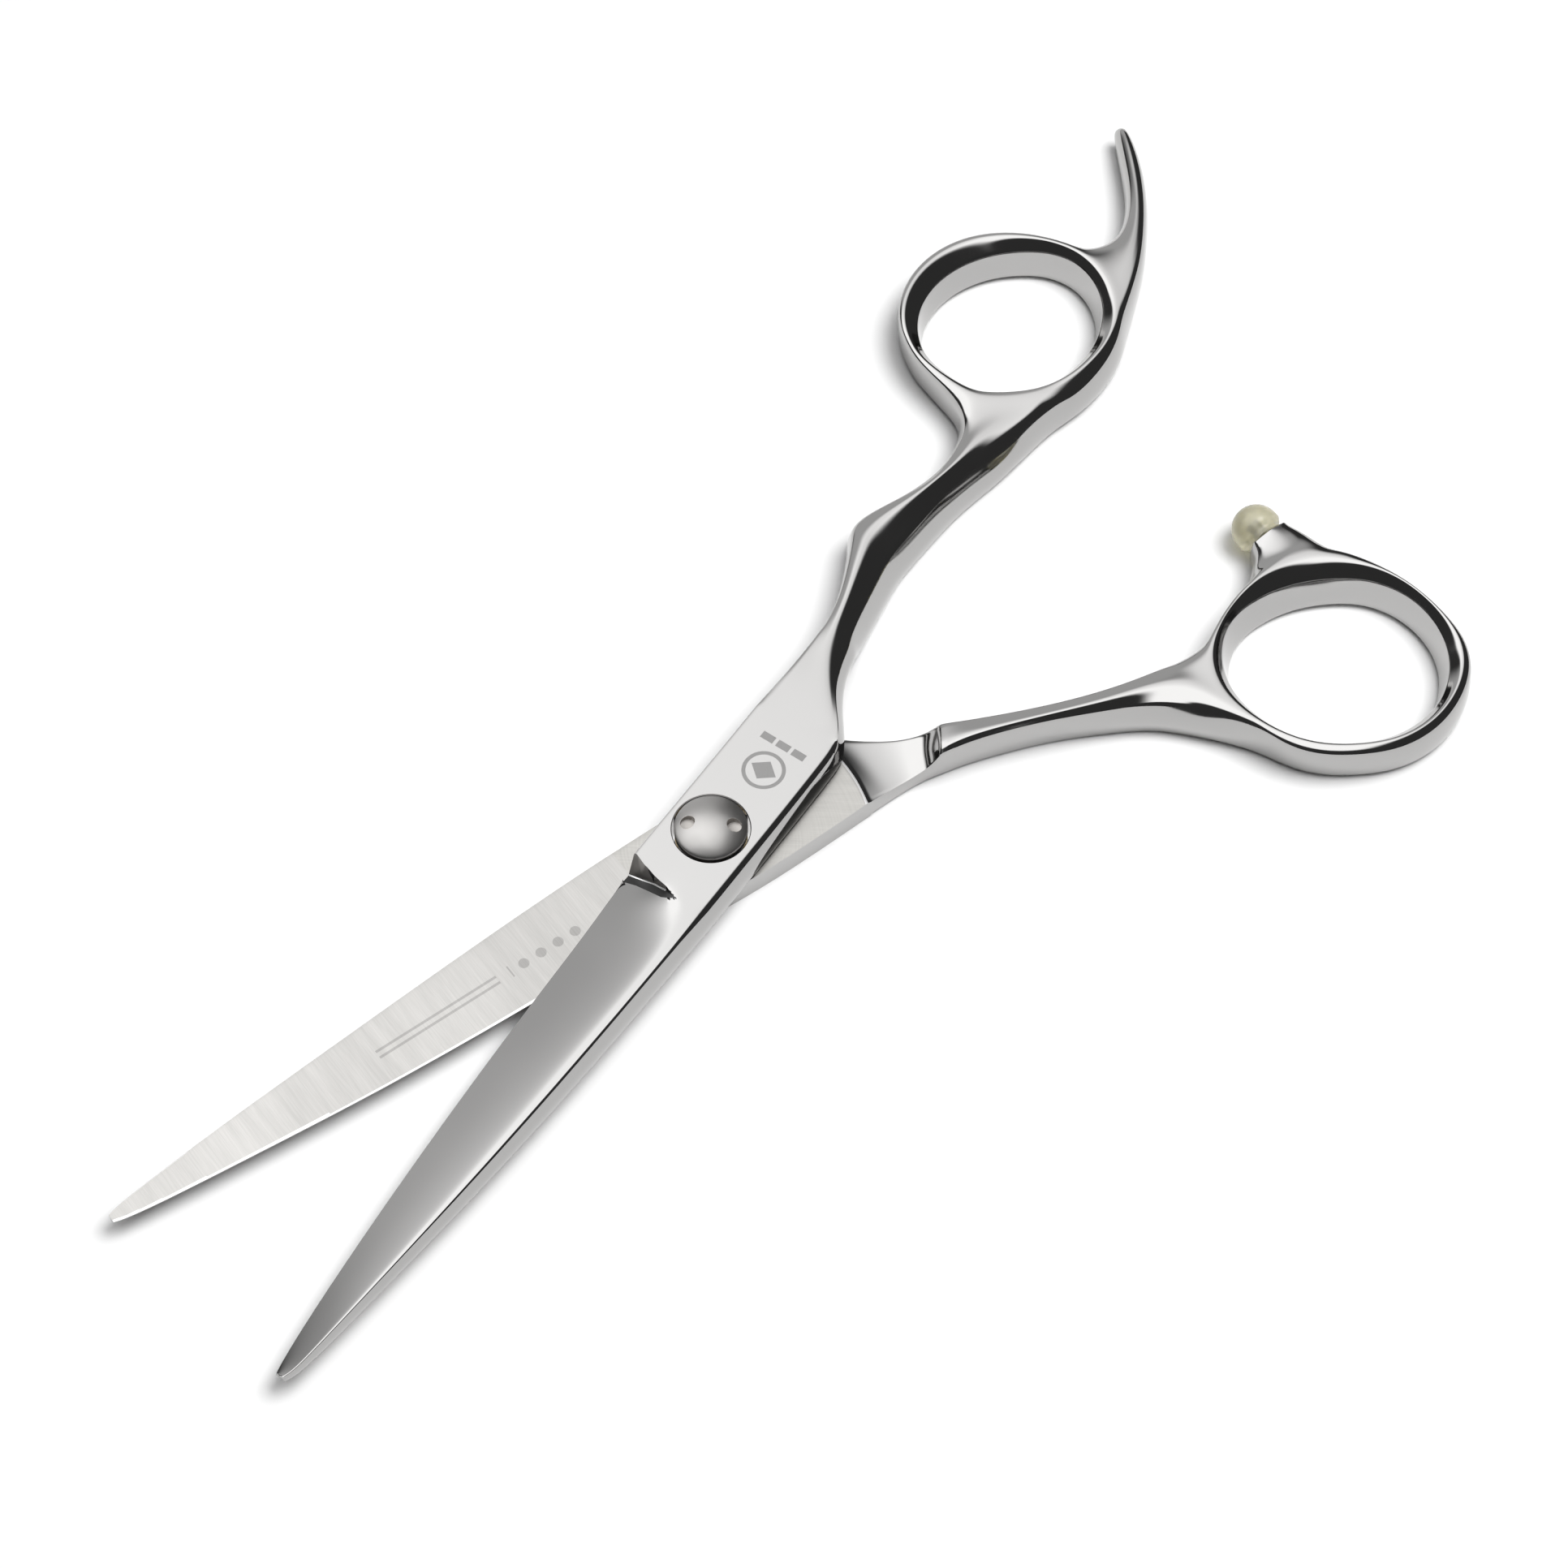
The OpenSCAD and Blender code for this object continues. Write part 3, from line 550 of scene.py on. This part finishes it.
def build_bumper():
    r, neck = 2.8, BOSS_Y - BUMPER_AT[1]
    profile = [(0.6, -neck - STEM_L), (1.4, -neck - STEM_L), (1.4, -neck)]
    profile += [(r - 0.45, -neck), (r - 0.58, -neck + 0.35), (r - 0.55, -neck + 0.7)]
    profile += [(r - 0.25, -neck + 0.95), (r - 0.02, -neck + 1.3)]
    profile += [(r * math.cos(a), r * math.sin(a)) for a in np.radians(np.arange(0, 89, 6))]
    profile += [(0, r), (0, 0.5), (0.6, 0.5)]
    at = OPEN @ place(*BUMPER_AT, (90, "X"))
    return smooth(lathe("bumper_plug", profile, 72, at), 50)


nut = build_nut()
bumper = build_bumper()

# ---- Materials ----


class Nodes:
    """A small helper for shader trees: calls make a node and link what they are given."""

    def __init__(self, tree):
        self.tree = tree

    def put(self, socket, value):
        if isinstance(value, bpy.types.NodeSocket):
            self.tree.links.new(value, socket)
        else:
            socket.default_value = value

    def node(self, kind, inputs=(), **settings):
        n = self.tree.nodes.new("ShaderNode" + kind)
        for k, v in settings.items():
            setattr(n, k, v)
        for k, v in dict(inputs).items():
            self.put(n.inputs[k], v)
        return n

    def math(self, operation, *values):
        n = self.node("Math", operation=operation)
        for i, v in enumerate(values):
            self.put(n.inputs[i], v)
        return n.outputs[0]

    def noise(self, where, scale, detail=2.0, rough=0.5):
        inputs = {"Vector": where, "Scale": scale, "Detail": detail, "Roughness": rough}
        return self.node("TexNoise", inputs).outputs[0]

    def span(self, value, a, b, c, d):
        n = self.node("MapRange", {"Value": value, "From Min": a, "From Max": b, "To Min": c, "To Max": d})
        return n.outputs[0]

    def blend(self, factor, a, b):
        n = self.node("Mix", data_type="RGBA")
        self.put(n.inputs[0], factor)
        self.put(n.inputs[6], a)
        self.put(n.inputs[7], b)
        return n.outputs[2]

    def length(self, u, v):
        squares = self.math("ADD", self.math("POWER", u, 2.0), self.math("POWER", v, 2.0))
        return self.math("SQRT", squares)

    def tint(self, level, green=1.0, blue=1.0):
        """A colour whose green and blue are parts of the level."""
        parts = {"Red": level}
        parts["Green"] = self.math("MULTIPLY", level, green)
        parts["Blue"] = self.math("MULTIPLY", level, blue)
        return self.node("CombineColor", parts).outputs[0]


class Look(Nodes):
    """A material with one Principled shader."""

    def __init__(self, name):
        self.material = bpy.data.materials.new(name)
        self.material.use_nodes = True
        super().__init__(self.material.node_tree)
        self.shader = self.tree.nodes["Principled BSDF"]
        self.coord = self.node("TexCoord").outputs["Object"]

    def place(self, scale=(1, 1, 1), turn=0.0):
        """The surface's own position in metres, turned about Z and then scaled."""
        inputs = {"Vector": self.coord, "Angle": turn}
        turned = self.node("VectorRotate", inputs, rotation_type="Z_AXIS").outputs[0]
        n = self.node("VectorMath", operation="MULTIPLY")
        self.put(n.inputs[0], turned)
        n.inputs[1].default_value = scale
        return n.outputs[0]

    def radius(self):
        """Distance from the pivot axis."""
        where = self.node("SeparateXYZ", {"Vector": self.place()})
        return self.length(where.outputs[0], where.outputs[1])

    def bump(self, height, distance, strength=1.0):
        n = self.node("Bump", {"Height": height, "Distance": distance, "Strength": strength})
        self.put(self.shader.inputs["Normal"], n.outputs[0])

    def finish(self, **values):
        for k, v in values.items():
            self.put(self.shader.inputs[k.replace("_", " ")], v)
        return self.material


def grey(v, warm=0.0):
    return (v, v * (1 - warm / 2), v * (1 - warm), 1)


def etched(n, shapes, turn=0.0):
    """A mask that is 1 inside any of the shapes: (kind, x, y, half width, half height)."""
    where = n.node("SeparateXYZ", {"Vector": n.place(turn=turn)})
    mask = None
    for kind, x, y, a, b in shapes:
        u = n.math("DIVIDE", n.math("ABSOLUTE", n.math("SUBTRACT", where.outputs[0], x * MM)), a * MM)
        v = n.math("DIVIDE", n.math("ABSOLUTE", n.math("SUBTRACT", where.outputs[1], y * MM)), b * MM)
        if kind == "bar":
            inside = n.math("LESS_THAN", n.math("MAXIMUM", u, v), 1.0)
        elif kind == "lozenge":
            inside = n.math("LESS_THAN", n.math("ADD", u, v), 1.0)
        else:
            r = n.length(u, v)
            inside = n.math("LESS_THAN", r, 1.0)
            if kind == "ring":
                inside = n.math("MULTIPLY", inside, n.math("GREATER_THAN", r, 0.82))
        mask = inside if mask is None else n.math("MAXIMUM", mask, inside)
    return mask


def polished(name, shapes=()):
    n = Look(name)
    cloud = n.noise(n.place(), 90, 3)
    fine = n.noise(n.place(), 2600, 2)
    rough, colour = n.span(cloud, 0.35, 0.7, 0.06, 0.11), grey(0.42, 0.02)
    if shapes:
        mask = etched(n, shapes)
        grain = n.span(n.noise(n.place(), 9000, 2), 0.3, 0.7, 0.5, 0.62)
        clear = n.math("MULTIPLY", n.math("SUBTRACT", 1.0, mask), rough)
        rough = n.math("ADD", n.math("MULTIPLY", mask, grain), clear)
        colour = n.blend(mask, colour, grey(0.33, 0.02))
    n.finish(Base_Color=colour, Metallic=1.0, Roughness=rough)
    n.bump(fine, 2e-7)
    return n.material


def brushed(name, base, turn, rough_low, rough_high, shapes=()):
    """Satin steel with fine lines that run across the blade."""
    n = Look(name)
    lines = n.noise(n.place((1, 0.03, 1), turn), 9000, 3, 0.6)
    broad = n.noise(n.place((1, 0.05, 1), turn), 900, 2)
    cloud = n.noise(n.place(), 60, 2)
    fine_tone, broad_tone = n.span(lines, 0.3, 0.7, -0.03, 0.03), n.span(broad, 0.3, 0.7, -0.02, 0.02)
    level = n.math("ADD", n.math("ADD", fine_tone, broad_tone), base)
    if shapes:
        level = n.math("MULTIPLY", level, n.span(etched(n, shapes, turn), 0.0, 1.0, 1.0, 0.72))
    rough = n.span(cloud, 0.35, 0.7, rough_low, rough_high)
    n.finish(Base_Color=n.tint(level, 0.982, 0.955), Metallic=1.0, Roughness=rough)
    n.bump(lines, 2e-6, 0.6)
    return n.material


def satin():
    """The nut's turned finish: circular lines round the pivot axis."""
    n = Look("turned_satin")
    rings = n.noise(n.node("CombineXYZ", {"X": n.radius()}).outputs[0], 14000, 3)
    rough = n.span(n.noise(n.place(), 500, 2), 0.35, 0.7, 0.36, 0.42)
    n.finish(Base_Color=grey(0.42, 0.04), Metallic=1.0, Roughness=rough)
    n.bump(rings, 1.5e-6, 0.6)
    return n.material


def machined():
    """The ride face: satin with arcs round the pivot axis and fine lines across."""
    n = Look("machined_ride_face")
    radius = n.radius()
    arcs = n.noise(n.node("CombineXYZ", {"X": radius}).outputs[0], 3000, 3)
    lines = n.noise(n.place((1, 0.05, 1), -OPENING - 0.9), 6000, 2)
    tone = n.math("ADD", n.span(arcs, 0.3, 0.7, 0.35, 0.43), n.span(lines, 0.3, 0.7, 0.0, 0.04))
    # Painted highlight: the outer 0.3 mm of the ride face is light grey, standing in for the bright line
    # along its rim step.
    rim = n.math("GREATER_THAN", radius, (RIDE_R - 0.3) * MM)
    colour = n.blend(rim, n.tint(tone, 0.982, 0.94), grey(0.7))
    n.finish(Base_Color=colour, Metallic=1.0, Roughness=n.span(arcs, 0.3, 0.7, 0.3, 0.4))
    n.bump(arcs, 2e-6, 0.5)
    return n.material


def soft_plastic():
    n = Look("bumper_plastic")
    n.finish(
        Base_Color=(0.74, 0.71, 0.54, 1), Roughness=0.22, IOR=1.42, Transmission_Weight=0.6,
        Subsurface_Weight=0.3, Subsurface_Radius=(0.003, 0.0028, 0.0018), Subsurface_Scale=0.5)
    return n.material


def plain(name, colour, metal, rough):
    n = Look(name)
    grain = n.span(n.noise(n.place(), 700), 0.3, 0.7, rough, rough + 0.08)
    return n.finish(Base_Color=colour, Metallic=metal, Roughness=grain)


# Plain etched shapes on the plate and on the thumb blade
PLATE_MARK = [("ring", -9.2, 0.4, 2.4, 2.4), ("lozenge", -9.2, 0.4, 1.3, 1.6)]
PLATE_MARK += [("bar", -12.9, 0.4 + 2 * i, 0.45, 0.8) for i in (-1, 0, 1)]
BLADE_MARK = [("dot", 18 + 2.2 * i, 0.25, 0.6, 0.6) for i in range(4)]
BLADE_MARK += [("bar", 26.3, 0.25, 0.09, 0.75)]
BLADE_MARK += [("bar", 35.5, 0.25 + s, 7.6, 0.15) for s in (-0.4, 0.4)]
STEEL = polished("polished_steel")
PLATE_STEEL = polished("polished_steel_marked", PLATE_MARK)
GROUND = plain("ground_steel", grey(0.42, 0.06), 1.0, 0.35)
# Painted dark reflection: near-black steel put on most of the heel notch in place of the dark surroundings
# the steel would reflect there.
PAINTED_DARK_REFLECTION = plain("notch_painted_dark_reflection", grey(0.06), 1.0, 0.3)
# Painted highlight: light grey steel stands in for the bright reflection on the thumb blade's honed edge and
# on a strip at the heel notch's foot. The narrow land itself is real geometry.
HONE_HIGHLIGHT = plain("honed_edge_painted_highlight", grey(0.8), 1.0, 0.3)
BLADE_FACE = brushed("brushed_blade_face", 0.46, -OPENING, 0.36, 0.44, BLADE_MARK)
RIDE_FACE = machined()
FINGER_FACE = brushed("brushed_finger_face", 0.46, 0.0, 0.36, 0.44)
SATIN = satin()
HOLE = plain("drilled_steel", grey(0.55, 0.08), 1.0, 0.5)


def dress(ob, *materials):
    ob.data.materials.clear()
    for m in materials:
        ob.data.materials.append(m)


def paint(ob, index, wanted):
    """Gives the faces that pass a test another material. It takes the centre in mm and the normal."""
    for f in ob.data.polygons:
        if wanted(f.center / MM, f.normal):
            f.material_index = index


CLOSED = OPEN.inverted()
RIDE_FROM, HONE_FROM, HONE_W = 9.5, 9.6, 0.3
dress(thumb, STEEL, BLADE_FACE, RIDE_FACE, HONE_HIGHLIGHT)


def on_face(c, normal):
    return normal.z > 0.99 and abs(c.z - RIDE_Z) < 0.02


paint(thumb, 1, on_face)
paint(thumb, 2, lambda c, n: on_face(c, n) and (CLOSED @ (c * MM)).x < RIDE_FROM * MM)
# The cutting edge's line, read from the blade's flat face: x to the largest y
RIM_POINTS = [
    (round(q.x, 1), q.y) for q in (CLOSED @ v.co / MM for v in thumb.data.vertices)
    if abs(q.z - RIDE_Z) < 0.02 and HONE_FROM < q.x < BLADE_LENGTH - 0.1]
EDGE = {x: max(y for u, y in RIM_POINTS if u == x) for x, _ in sorted(RIM_POINTS)}
EDGE_X = [x for x in EDGE if EDGE[x] > 0.2]
EDGE_Y = [EDGE[x] for x in EDGE_X]


# The hone line: a band HONE_W wide along the thumb blade's cutting edge gets the painted highlight steel.
def near_edge(c, normal):
    q = CLOSED @ (c * MM) / MM
    return on_face(c, normal) and q.x > HONE_FROM and q.y > np.interp(q.x, EDGE_X, EDGE_Y) - HONE_W


paint(thumb, 3, near_edge)
dress(finger, PLATE_STEEL, FINGER_FACE, GROUND, HONE_HIGHLIGHT, PAINTED_DARK_REFLECTION)
paint(finger, 1, lambda c, n: n.z < -0.99 and abs(c.z - FACE_Z) < 0.02)


def notch_edge(y, column, tip_x):
    """One of the notch's lines at the height y, up to its tip."""
    ys = [row[0] for row in HEEL_NOTCH] + [NOTCH_TIP[1]]
    return np.interp(y, ys, [row[column] for row in HEEL_NOTCH] + [tip_x])


def notch_face(c, normal):
    """Which of the finger lever's materials a face of the heel notch has, or 0 elsewhere."""
    near = notch_edge(c.y, 4, NOTCH_TIP[0])
    far = notch_edge(c.y, 1, NOTCH_TIP[0] - 0.1)
    if not (-5.3 < c.y < 2 and far + 0.01 < c.x < near - 0.01 and c.z < TOP_Z - 0.005):
        return 0
    foot = notch_edge(c.y, 2, NOTCH_TIP[0])
    # A thin strip at the notch's foot: painted highlight (3) below y 0.5, painted dark reflection (4) above
    # it.
    if normal.x > 0.25 and foot - 0.09 < c.x < foot + 0.14:
        return 3 if c.y < 0.5 else 4
    # Ground steel on the far wall below the foot; the rest of the notch gets the painted dark reflection.
    return 2 if normal.x > 0.5 and c.x < foot else 4


for index in (2, 3, 4):
    paint(finger, index, lambda c, n: n.y > -0.9 and notch_face(c, n) == index)


def in_key_hole(c, normal):
    a = math.radians(KEY_ANGLE)
    x, y = KEY_R * math.cos(a), KEY_R * math.sin(a)
    return c.z > 6.2 and min(math.hypot(c.x - x, c.y - y), math.hypot(c.x + x, c.y + y)) < 0.83


dress(nut, SATIN, HOLE)
paint(nut, 1, in_key_hole)
dress(bumper, soft_plastic())

dress(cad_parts["pivot_bolt"], plain("turned_steel", grey(0.55), 1.0, 0.25))
dress(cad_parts["pivot_bush"], plain("turned_brass", (0.72, 0.55, 0.28, 1), 1.0, 0.25))
dress(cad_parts["glide_washer"], plain("white_plastic", (0.85, 0.85, 0.82, 1), 0.0, 0.4))
dress(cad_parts["thrust_washer"], plain("washer_steel", grey(0.5), 1.0, 0.3))
dress(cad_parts["disc_spring"], plain("blued_steel", (0.2, 0.22, 0.28, 1), 1.0, 0.3))
dress(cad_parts["bumper_stud"], plain("dark_steel", grey(0.15), 1.0, 0.35))

for ob, body, node, slot in (
    (finger, "finger_lever", "finger_blade", "forged_steel"),
    (thumb, "thumb_lever", "thumb_blade", "forged_steel"),
    (nut, "adjuster", "tension_nut", "nut_steel"),
    (bumper, "thumb_lever", "bumper", "bumper_rubber"),
):
    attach(ob, body)
    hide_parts(node)

# ---- Floor, lights and camera ----


def plane(name, size, at, material):
    bm = bmesh.new()
    bm.faces.new([bm.verts.new((x * size, y * size, 0)) for x, y in ((-1, -1), (1, -1), (1, 1), (-1, 1))])
    ob = mesh_object(name, bm, at)
    dress(ob, material)
    return ob


floor_look = Look("floor_paper")
floor_look.finish(Base_Color=(0.93, 0.93, 0.93, 1), Roughness=0.9, Specular_IOR_Level=0.1)
plane("floor", 3, Matrix.Translation((0, 0, -0.00002)), floor_look.material)


def studio():
    """A dark room with a soft wide light high on the far side and a grey wall low behind it."""
    world = bpy.data.worlds.new("studio")
    bpy.context.scene.world = world
    world.use_nodes = True
    n = Nodes(world.node_tree)
    heading = n.node("TexCoord").outputs["Generated"]

    def along(azimuth, elevation):
        a, e = math.radians(azimuth), math.radians(elevation)
        dot = n.node("VectorMath", operation="DOT_PRODUCT")
        n.put(dot.inputs[0], heading)
        dot.inputs[1].default_value = (math.cos(a) * math.cos(e), math.sin(a) * math.cos(e), math.sin(e))
        return dot.outputs["Value"]

    def soft(value, low, high):
        inputs = {"Value": value, "From Min": low, "From Max": high}
        return n.node("MapRange", inputs, interpolation_type="SMOOTHSTEP").outputs[0]

    depth = n.math("MAXIMUM", along(212, 58), 0.02)
    across = n.math("DIVIDE", along(302, 0), depth)
    rise = n.math("DIVIDE", along(32, 32), depth)
    box = n.math("MULTIPLY", soft(across, 2.0, 1.2), soft(across, -0.62, -0.3))
    box = n.math("MULTIPLY", n.math("MULTIPLY", box, soft(rise, 1.5, 1.05)), soft(rise, -0.42, -0.1))
    upward = n.math("POWER", along(0, 90), 2.0)
    flat = n.math("SQRT", n.math("MAXIMUM", n.math("SUBTRACT", 1.0, upward), 0.001))
    far = soft(n.math("DIVIDE", along(232, 0), flat), 0.85, 0.955)
    low = soft(along(0, 90), 0.95, 0.7)
    wall = n.math("MULTIPLY", n.math("MULTIPLY", far, low), 0.64)
    bright = n.math("MINIMUM", n.math("MULTIPLY_ADD", along(0, 0), 1.95, 2.56), 2.13)
    gain = n.math("MULTIPLY", box, n.math("SUBTRACT", bright, wall))
    level = n.math("ADD", n.math("ADD", wall, gain), 0.05)
    back = world.node_tree.nodes["Background"]
    n.put(back.inputs[0], n.tint(level))
    world.cycles_visibility.diffuse = False


studio()

# The middle of the shears
AIM = Vector((-0.017, 0.011, 0))


def overhead(name, azimuth, elevation, distance, size, power):
    """A large soft light that brightens the floor but isn't seen in the steel."""
    a, e = math.radians(azimuth), math.radians(elevation)
    back = Vector((math.cos(a) * math.cos(e), math.sin(a) * math.cos(e), math.sin(e)))
    light = bpy.data.lights.new(name, "AREA")
    light.shape, light.size, light.energy = "DISK", size, power
    ob = bpy.data.objects.new(name, light)
    ob.location = AIM + back * distance
    ob.rotation_mode = "QUATERNION"
    ob.rotation_quaternion = back.to_track_quat("Z", "Y")
    ob.visible_glossy = False
    bpy.context.scene.collection.objects.link(ob)


overhead("key", 135, 66, 1.5, 0.9, 14.5)
overhead("fill", 125, 80, 1.5, 1.8, 19)

RIGHT = Vector((-0.5736, 0.8192, 0))
BACK = Vector((0.4280, 0.2997, 0.8526))
EYE = (0.1962, 0.1469, 0.4149)
camera = bpy.data.cameras.new("camera")
camera.lens, camera.sensor_width = 102.5, 36
camera.clip_start, camera.clip_end = 0.02, 20
eye = bpy.data.objects.new("camera", camera)
right = RIGHT.normalized()
back = BACK.normalized()
above = back.cross(right)
eye.matrix_world = Matrix.Translation(EYE) @ Matrix((right, above, back)).transposed().to_4x4()
bpy.context.scene.collection.objects.link(eye)
bpy.context.scene.camera = eye
bpy.context.scene.view_settings.view_transform = "Standard"
